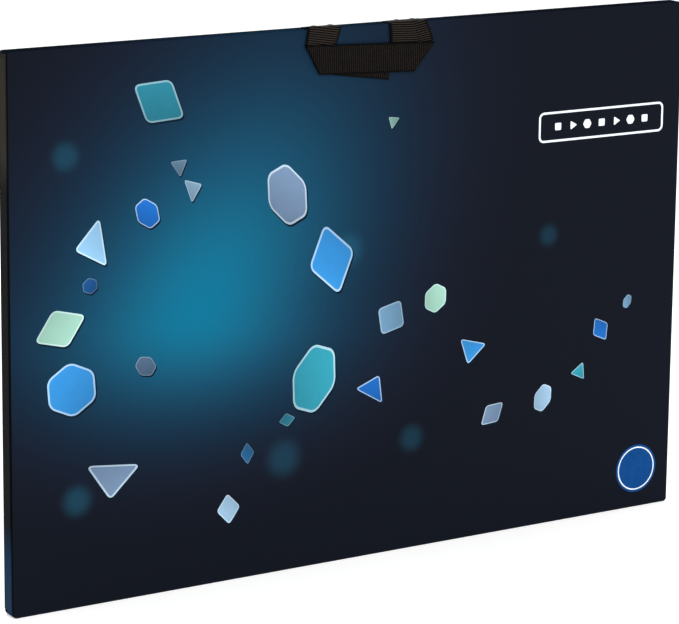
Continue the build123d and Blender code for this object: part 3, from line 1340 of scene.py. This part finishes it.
@dataclass
class Handle:
    """The webbing handle: two legs over the top edge, a grip ply and a second ply behind it."""

    plan: CasePlan
    material: Material
    leg_drop: float = 18.2 * MM
    grip_height: float = 30 * MM
    grip_length: float = 172 * MM
    grip_left: float = -84 * MM
    grip_stand: float = 3.05 * MM
    grip_tilt: float = -2.3
    bend: float = 1.7 * MM
    second_height: float = 25 * MM
    second_length: float = 83 * MM
    second_stand: float = 1.45 * MM
    second_tilt: float = -8.2
    second_start: tuple[float, float] = (-57 * MM, 3 * MM)
    grip_wave: float = 0.3 * MM
    wave_along: float = 21 * MM
    wave_across: float = 11 * MM
    fold_radius: float = 0.95 * MM
    tab_rear: float = 4.6 * MM
    tab_stand: float = 1.3 * MM
    tab_rib: float = 0.12 * MM
    leg_stand: float = 1.5 * MM
    leg_tuck: float = 4 * MM
    leg_crease: float = 27 * MM
    # painted light on the ribs' crests: the legs painted lighter, as painted highlight, the grip a
    # little darker, as painted shade
    leg_painted_light: float = 1.15
    grip_painted_light: float = 0.87
    tab_painted_shade: float = 0.25
    fold_painted_light: float = 0.3

    def over_edge(self, leg: Leg) -> Callable[[float, float, float], Point]:
        """Builds a route from the top face over the front edge and down.

        Args:
            leg: How the leg hangs.

        Returns:
            The route of the leg.
        """
        top = self.plan.head + self.tab_stand
        hang = self.plan.front - self.leg_stand
        centre_y, centre_z = hang + self.bend, top - self.bend
        flat = self.tab_rear - centre_y
        turn = self.bend * math.pi / 2

        def route(u: float, s: float, height: float) -> Point:
            """Gives a point's place: on the top edge, round the front edge or down the face."""
            x = leg.low_x + u
            lift = leg.rise * (1 - u / leg.width)
            if s < flat:
                up = lift * (s / flat) ** 3
                return (x, self.tab_rear - s, top + min(height, self.tab_rib) + up)
            if s < flat + turn:
                angle, reach = (s - flat) / self.bend, self.bend + height
                z = centre_z + reach * math.cos(angle) + lift
                return (x, centre_y - reach * math.sin(angle), z)
            down = s - flat - turn
            share = min(1.0, down / self.leg_drop)
            across = 0.6 + 0.4 * math.sin(math.pi * u / leg.width)
            swell = leg.bow * math.sin(math.pi * share) * across
            x += leg.lean * share + leg.wing * share * u / leg.width
            x += leg.pull * max(0.0, down - self.leg_drop)
            return (x, hang - height - swell, centre_z - down + lift)

        return route

    def leg(self, name: str, leg: Leg) -> Object:
        """Models one leg and its tab on the top edge.

        Args:
            name: Name of the piece.
            leg: How the leg hangs.

        Returns:
            The leg.
        """
        flat = self.tab_rear - (self.plan.front - self.leg_stand + self.bend)
        length = flat + self.bend * math.pi / 2 + (self.leg_drop + self.leg_tuck)
        strap = Webbing(leg.width, length, painted_light=self.leg_painted_light)
        piece = strap.lay(name, leg.skew, self.over_edge(leg))
        # pressed flat by its rivets, the strap's ribs stand low on the top edge, and their crests
        # there are painted darker, as painted shade
        ribs = piece.data.attributes["rib"].data
        for vertex in piece.data.vertices:
            if vertex.co.y > self.plan.front + self.bend:
                ribs[vertex.index].value *= self.tab_painted_shade
        dress(piece, self.material)
        return piece

    def legs(self) -> None:
        """Lays both legs, from the case's top edge down to the grip."""
        crease = self.leg_crease
        left = Leg(
            low_x=-71 * MM,
            width=38.3 * MM,
            lean=-3.2 * MM,
            skew=lambda u: -0.1 * u,
            bow=0.9 * MM,
            pull=0.6,
            wing=-3 * MM,
            rise=2 * MM,
        )
        right = Leg(
            low_x=25 * MM,
            width=45 * MM,
            lean=1.3 * MM,
            skew=lambda u: -0.05 * min(u, crease) + 0.16 * max(0.0, u - crease),
            bow=1.1 * MM,
            pull=-0.95,
            wing=6.6 * MM,
        )
        for side, leg in (("left", left), ("right", right)):
            piece = self.leg(f"handle_leg_{side}", leg)
            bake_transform(piece)
            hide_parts(f"handle_tab_{side}")
            LOG.info("%s bends from base to handle", piece.name)

    def grip(self) -> None:
        """Lays the grip ply in front, mitres its ends and backs it with the second ply."""
        plan = self.plan
        top = plan.head - self.leg_drop
        low = top - self.grip_height
        outer, inner = plan.front - self.grip_stand, plan.front - self.second_stand
        tilt, turn = math.radians(self.grip_tilt), math.radians(self.second_tilt)

        def front_route(u: float, s: float, height: float) -> Point:
            """Gives a point's place on the grip ply, which waves a little."""
            wave = math.sin(s / self.wave_along) * math.sin(u / self.wave_across)
            x = self.grip_left + s
            return (
                x * math.cos(tilt) - u * math.sin(tilt),
                outer - height - self.grip_wave * wave,
                low + x * math.sin(tilt) + u * math.cos(tilt),
            )

        def back_route(u: float, s: float, height: float) -> Point:
            """Gives a point's place on the second ply."""
            return (
                self.second_start[0] + s * math.cos(turn) - u * math.sin(turn),
                inner - height,
                low + self.second_start[1] + s * math.sin(turn) + u * math.cos(turn),
            )

        strap = Webbing(self.grip_height, self.grip_length, painted_light=self.grip_painted_light)
        ply = strap.lay("handle_grip", lambda u: 0.03 * u, front_route)
        corners = (
            ("left", Vector((-74 * MM, 0, top + 3.1 * MM)), Vector((-57 * MM, 0, low + 2.3 * MM))),
            ("right", Vector((79 * MM, 0, top - 3.1 * MM)), Vector((54.2 * MM, 0, low - 2.2 * MM))),
        )
        for side, high, foot in corners:
            outwards = (foot - high).normalized().cross(Vector((0, 1, 0)))
            if (outwards.x > 0) != (side == "right"):
                outwards.negate()
            with editing(ply, pick="SELECT"):
                bpy.ops.mesh.bisect(
                    plane_co=high, plane_no=outwards, clear_outer=True, use_fill=True
                )
        dress(ply, self.material)
        place(ply, "handle", "webbing", "handle_strap")
        for side, high, foot in corners:
            self.fold(f"handle_fold_{side}", high, foot, outer)
        strap = Webbing(self.second_height, self.second_length, painted_light=self.grip_painted_light)
        second = strap.lay("handle_second_ply", lambda u: 0.0, back_route)
        dress(second, self.material)
        place(second, "handle", "webbing", "handle_inner_ply")

    def fold(self, name: str, high: Vector, foot: Vector, outer: float) -> None:
        """Models the rolled edge where the strap turns back on itself at a mitred corner.

        Args:
            name: Name of the piece.
            high: Upper end of the fold.
            foot: Lower end of the fold.
            outer: Depth of the grip ply.
        """
        along = foot - high
        middle = (high + foot) / 2
        middle.y = outer + self.fold_radius
        bpy.ops.mesh.primitive_cylinder_add(
            vertices=20, radius=self.fold_radius, depth=along.length, location=middle
        )
        piece = named(name)
        piece.rotation_mode = "QUATERNION"
        piece.rotation_quaternion = Vector((0, 0, 1)).rotation_difference(along.normalized())
        settle(piece)
        round_edges(piece, 0.4 * MM, 2, 50)
        lay_map(piece.data)
        # one fixed level of painted light on the rolled fold
        height = piece.data.attributes.new("rib", "FLOAT", "POINT")
        for point in height.data:
            point.value = self.fold_painted_light
        smooth(piece, 60)
        dress(piece, self.material)
        place(piece, "handle", "webbing")


# ---------------------------------------------------------------- hinge and inside


@dataclass
class Interior:
    """Cloth hinge and the soft pieces inside the case."""

    plan: CasePlan
    cloth_thickness: float = 0.35 * MM
    hinge_side: float = 10 * MM
    hinge_back: float = 24 * MM
    hinge_stand: float = 0.25 * MM
    end_margin: float = 6 * MM
    pocket_leg: float = 60 * MM
    pocket_stand: float = 0.4 * MM
    pocket_cuts: int = 11
    hem_width: float = 7 * MM
    hem_rise: float = 0.15 * MM
    puff: float = 0.5 * MM

    def hinge(self, cloth: Material) -> None:
        """Lays the cloth strip from the left side round the back edge onto the lid."""
        plan, stand = self.plan, self.hinge_stand
        radius = plan.crease + stand
        side = plan.back - plan.crease - (plan.rim - self.hinge_side)
        turn = radius * math.pi / 2
        length = side + turn + self.hinge_back - plan.crease
        height = plan.head - plan.foot - 2 * self.end_margin
        bpy.ops.mesh.primitive_grid_add(x_subdivisions=60, y_subdivisions=96, size=1)
        piece = named("hinge_cloth")
        mesh = piece.data
        flat = [((v.co.x + 0.5) * height, (v.co.y + 0.5) * length) for v in mesh.vertices]
        lay_map(mesh, spots=flat)
        for vertex, (up, s) in zip(mesh.vertices, flat):
            if s < side:
                x, y = plan.left - stand, plan.rim - self.hinge_side + s
            elif s < side + turn:
                angle = (s - side) / radius
                x = plan.left + plan.crease - radius * math.cos(angle)
                y = plan.back - plan.crease + radius * math.sin(angle)
            else:
                x, y = plan.left + plan.crease + s - side - turn, plan.back + stand
            vertex.co = (x, y, plan.foot + self.end_margin + up)
        modify(piece, "SOLIDIFY", thickness=self.cloth_thickness, offset=0)
        smooth(piece, 50)
        dress(piece, cloth)
        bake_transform(piece)
        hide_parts("hinge_cloth_base", "hinge_cloth_lid")
        LOG.info("hinge_cloth bends from base to lid")

    def softened(self, node: str, name: str, radius: float, steps: int = 2) -> Object:
        """Copies a node and rounds its edges.

        Args:
            node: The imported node.
            name: Name of the piece.
            radius: Radius of its edges.
            steps: Faces across each rounded edge.

        Returns:
            The rounded copy.
        """
        piece = clone_node(node, name)
        round_edges(piece, radius, steps, 40)
        flatten(piece, 50)
        return piece

    def build(self, finishes: dict[str, Material]) -> None:
        """Builds the hinge and every soft piece inside.

        Args:
            finishes: Materials by the record's slot names.
        """
        self.hinge(finishes["hinge_cloth"])
        felt = self.softened("work_felt", "felt_sheet", 0.3 * MM)
        dress(felt, finishes["felt"])
        place(felt, "base", "felt", "work_felt")
        pad = self.softened("press_pad", "foam_pad", 1.3 * MM, 4)
        dress(pad, finishes["foam"])
        place(pad, "lid", "foam", "press_pad")
        self.pockets(finishes["pocket_cloth"])
        for kind, body in (("hook", "base"), ("loop", "lid")):
            tape = self.softened(f"{kind}_patches", f"{kind}_tape", 0.25 * MM)
            lay_map(tape.data)
            dress(tape, finishes[f"{kind}_tape"])
            place(tape, body, f"{kind}_tape", f"{kind}_patches")

    def pocket_pattern(self) -> Object:
        """Models one corner pocket with its turned hem, in the corner at the origin.

        Returns:
            The pocket, one face thick.
        """
        leg = self.pocket_leg
        pattern = disc("pocket_pattern", 3)
        for vertex, (x, z) in zip(pattern.data.vertices, ((0, 0), (leg, 0), (0, leg))):
            vertex.co = (x, 0, z)
        with editing(pattern, pick="SELECT"):
            bpy.ops.mesh.subdivide(number_cuts=self.pocket_cuts)
        face_outwards(pattern)
        for vertex in pattern.data.vertices:
            x, z = vertex.co.x, vertex.co.z
            from_edge = (leg - x - z) / math.sqrt(2)
            # the hem is one ply thicker, and the cloth puffs a little behind it
            hem = self.hem_rise if from_edge < self.hem_width else 0.0
            puff = self.puff * math.sin(math.pi * min(1.0, from_edge / (0.7 * leg)))
            vertex.co.y = hem + puff * min(1.0, 4 * min(x, z) / leg)
        return pattern

    def pockets(self, cloth: Material) -> None:
        """Copies the pocket's pattern to the four corners."""
        low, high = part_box("corner_pockets")
        pattern, leg = self.pocket_pattern(), self.pocket_leg
        for number, (x, z, turn_x, turn_z) in enumerate(
            (
                (low.x, low.z, 1, 1),
                (high.x, low.z, -1, 1),
                (low.x, high.z, 1, -1),
                (high.x, high.z, -1, -1),
            )
        ):
            piece = copied(pattern, f"corner_pocket_{number + 1}")
            corner = Matrix.Translation((x, low.y + self.pocket_stand, z))
            piece.data.transform(corner @ Matrix.Diagonal((turn_x, 1, turn_z, 1)))
            face_outwards(piece)
            if sum(face.normal.y for face in piece.data.polygons) < 0:
                piece.data.flip_normals()
            modify(piece, "SOLIDIFY", thickness=self.cloth_thickness, offset=-1)
            smooth(piece, 50)
            lay_map(piece.data)
            dress(piece, cloth)
            place(piece, "base", "pocket_cloth", "corner_pockets")
        bpy.data.objects.remove(pattern)


# ---------------------------------------------------------------- studio


@dataclass
class Studio:
    """Pale floor, soft lights and the camera."""

    frame_width: int = 679
    sensor: float = 36.0
    focal_pixels: float = 2994.0
    lift_pixels: float = 100.0
    camera_spot: Point = (-1.5877, -2.5501, 0.9850)
    yaw: float = 31.481
    pitch: float = 11.644
    roll: float = 0.629
    far_clip: float = 60.0
    floor_side: float = 40.0
    floor_drop: float = 0.2 * MM
    floor_glow: float = 0.22
    air_glow: float = 0.9
    lit_spot: Point = (0, 0, 0.3)

    def camera(self) -> None:
        """Stands the camera where the photograph was taken from."""
        data = bpy.data.cameras.new("camera")
        data.sensor_width = self.sensor
        data.lens = self.sensor * self.focal_pixels / self.frame_width
        data.shift_y = -self.lift_pixels / self.frame_width
        data.clip_end = self.far_clip
        camera = bpy.data.objects.new("camera", data)
        bpy.context.collection.objects.link(camera)
        turn = (
            Matrix.Rotation(math.radians(-self.yaw), 4, "Z")
            @ Matrix.Rotation(math.radians(90 - self.pitch), 4, "X")
            @ Matrix.Rotation(math.radians(self.roll), 4, "Z")
        )
        camera.matrix_world = Matrix.Translation(self.camera_spot) @ turn
        bpy.context.scene.camera = camera

    def floor(self) -> None:
        """Lays a flat pale floor under the case."""
        bpy.ops.mesh.primitive_plane_add(size=1, location=(0, 0, -self.floor_drop))
        floor = named("floor")
        floor.scale = (self.floor_side, self.floor_side, 1)
        settle(floor)
        paper = GrainedPaper("backdrop_paper", 0.9, 0.1, "#fbfbfb", "#f6f6f6", 8 * MM)
        material = paper.build()
        shader = material.node_tree.nodes["Principled BSDF"].inputs
        shader["Emission Color"].default_value = (1, 1, 1, 1)
        shader["Emission Strength"].default_value = self.floor_glow
        dress(floor, material)

    def light(self, name: str, spot: Point, size: float, watts: float) -> None:
        """Adds a soft box light that faces the middle of the case.

        Args:
            name: Name of the light.
            spot: Its place.
            size: Side of its square face.
            watts: Its power.
        """
        data = bpy.data.lights.new(name, "AREA")
        data.size = size
        data.energy = watts
        lamp = bpy.data.objects.new(name, data)
        bpy.context.collection.objects.link(lamp)
        lamp.location = spot
        direction = Vector(self.lit_spot) - Vector(spot)
        lamp.rotation_euler = direction.to_track_quat("-Z", "Y").to_euler()

    def build(self) -> None:
        """Sets up camera, floor and lights."""
        self.camera()
        self.floor()
        world = bpy.data.worlds.new("studio_air")
        world.use_nodes = True
        air = world.node_tree.nodes["Background"].inputs
        air["Color"].default_value = (1, 1, 1, 1)
        air["Strength"].default_value = self.air_glow
        bpy.context.scene.world = world
        bpy.context.scene.view_settings.view_transform = "Standard"
        self.light("key", (-1.6, -2.6, 2.6), 1.6, 60)
        self.light("fill", (2.4, -2.2, 1.6), 1.8, 25)
        self.light("back", (0.5, 2.4, 2.2), 1.8, 30)


# ---------------------------------------------------------------- main


def finishes(plan: CasePlan) -> dict[str, Material]:
    """Builds every material once.

    Args:
        plan: Plan of the case.

    Returns:
        Materials by name; the record's slots are among them.
    """
    spots = (
        (-330 * MM, 110 * MM, 24 * MM, 0.13),
        (-95 * MM, 120 * MM, 30 * MM, 0.1),
        (-20 * MM, 330 * MM, 26 * MM, 0.12),
        (60 * MM, 120 * MM, 22 * MM, 0.09),
        (230 * MM, 320 * MM, 18 * MM, 0.08),
        (-340 * MM, 455 * MM, 22 * MM, 0.11),
    )
    kinds = [
        PrintedLaminate("laminated_offset_print", 0.34, 0.03, plan=plan, spots=spots),
        PrintedLaminate("turned_print", 0.6, 0.0, plan=plan),
        TileInk("varnished_tile_ink", 0.3, 0.08),
        PlainInk("pale_screen_ink", 0.45, 0.3),
        PlainInk("shade_ink", 0.5, 0.02, "#0d1c2a", "#0a1622"),
        PlainInk("blue_screen_ink", 0.35, 0.05, "#03417e", "#033b74"),
        GrainedPaper("black_lined_greyboard", 0.8, 0.2, "#232427", "#141517"),
        GrainedPaper("bare_greyboard", 0.85, 0.2, "#8b8072", "#6f665a", 0.9 * MM),
        GrainedPaper("navy_lining_paper", 0.75, 0.2, "#1d2a3c", "#141e2c", 0.8 * MM),
        EmbossedPaper("embossed_cover_paper", 0.55, 0.2),
        EmbossedPaper("turned_cover_paper", 0.7, 0.0),
        FibreFelt("needled_felt", 0.95, 0.1),
        CellFoam("closed_cell_foam", 0.9, 0.15),
        WovenCloth("bookcloth", 0.8, 0.05, "#191a1c", "#08080a", side_of=plan),
        WovenCloth("pocket_cloth", 0.85, 0.2, "#303338", "#121316"),
        WovenCloth("hook_tape", 0.6, 0.3, "#2c2c2e", "#080808", 1.4 * MM, relief=0.5 * MM),
        WovenCloth("loop_tape", 0.95, 0.1, "#343436", "#101011", 0.8 * MM, relief=0.3 * MM),
        RibbedWebbing("polypropylene_webbing", 0.6, 0.03),
        LacqueredSteel("black_lacquered_steel", 0.5, 0.15, "#161618", "#0a0a0b"),
        LacqueredSteel("zinc_plated_steel", 0.4, 0.5, "#c9ccd0", "#a9adb3", 1.0),
    ]
    made = {kind.name: kind.build() for kind in kinds}
    slots = {
        "print": "laminated_offset_print",
        "board": "black_lined_greyboard",
        "work_board": "bare_greyboard",
        "lining": "navy_lining_paper",
        "cover_paper": "embossed_cover_paper",
        "felt": "needled_felt",
        "foam": "closed_cell_foam",
        "hinge_cloth": "bookcloth",
        "webbing": "polypropylene_webbing",
        "rivet_steel": "black_lacquered_steel",
        "plate_steel": "zinc_plated_steel",
    }
    made.update({slot: made[name] for slot, name in slots.items()})
    return made


def dress_nodes(made: dict[str, Material]) -> None:
    """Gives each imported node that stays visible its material.

    Args:
        made: Materials by the record's slot names.
    """
    for entry in frame["record"]["subparts"]:
        node = frame["nodes"][entry["node"]]
        dress(node, made[entry["material_slot"]])
        LOG.info("%s is finished in %s", node.name, entry["material_slot"])


def main() -> None:
    """Builds the case in order."""
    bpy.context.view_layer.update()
    plan = CasePlan.read()
    made = finishes(plan)
    dress_nodes(made)
    shell = CaseShell(plan)
    shell.printed_wrap(made["print"], made["turned_print"])
    shell.lid_wrap(made["cover_paper"], made["turned_cover_paper"])
    art = Artwork(plan)
    art.tiles(made["varnished_tile_ink"], made["shade_ink"])
    art.label(made["pale_screen_ink"])
    art.badge(made["blue_screen_ink"], made["pale_screen_ink"])
    handle = Handle(plan, made["webbing"])
    handle.legs()
    handle.grip()
    Interior(plan).build(made)
    Studio().build()


if __name__ == "__main__":
    logging.basicConfig(level=logging.INFO)
    main()
